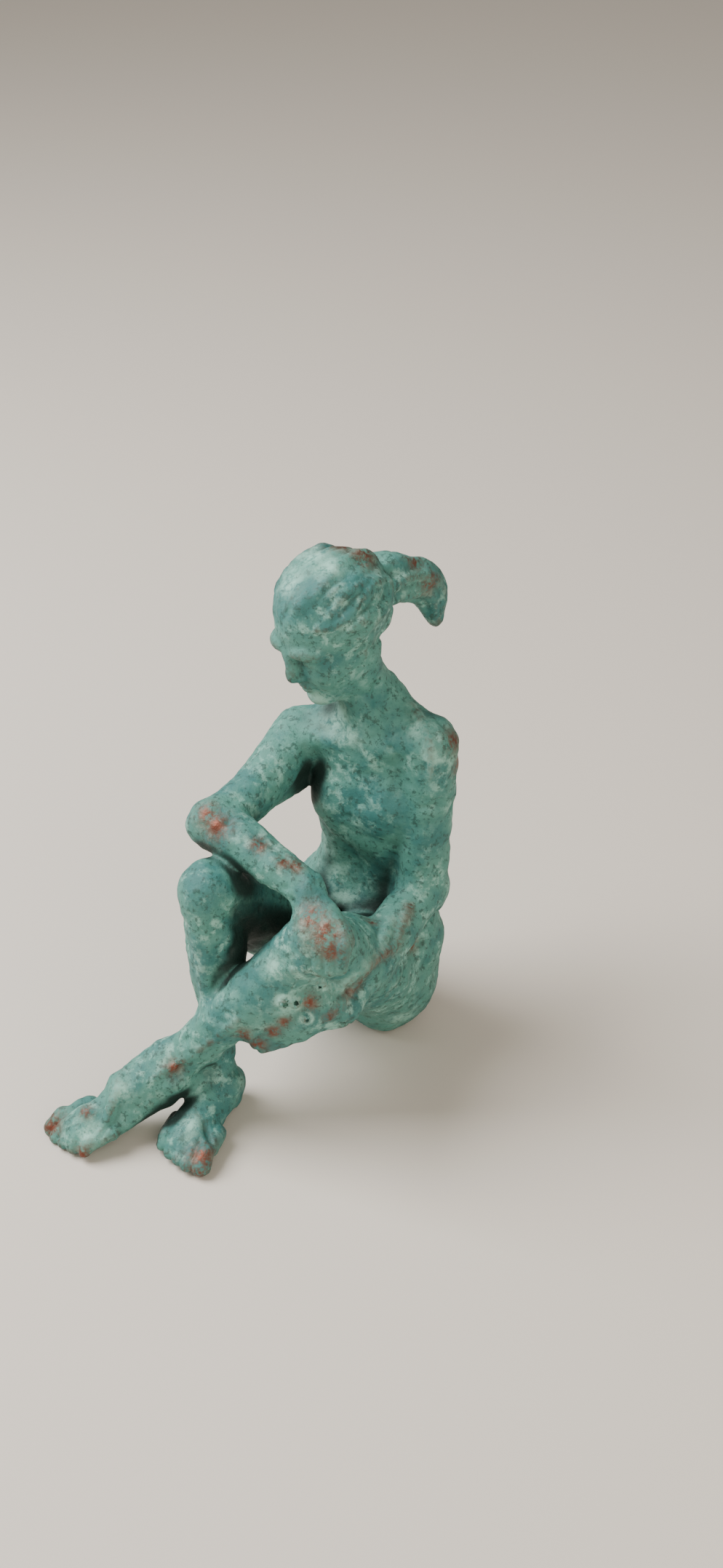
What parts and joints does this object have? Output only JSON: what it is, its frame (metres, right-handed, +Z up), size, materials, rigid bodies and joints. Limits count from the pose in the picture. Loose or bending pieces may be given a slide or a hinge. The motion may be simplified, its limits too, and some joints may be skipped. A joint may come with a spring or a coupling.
{
  "type": "bronze seated woman statuette",
  "caption": "Small solid bronze of a seated nude woman with raised knees, crossed shins and a horse-tail, standing on her seat and feet.",
  "frame": {"origin": "on the ground, under the middle of the figure's bounding box", "axes": "+Z up, +X to the figure's left, -Y the way the figure faces"},
  "size_m": [0.0572, 0.0906, 0.1101],
  "materials": {
    "bronze_patina": "matte"
  },
  "bodies": {
    "root": {"seated_figure": "bronze_patina"}
  },
  "joints": []
}
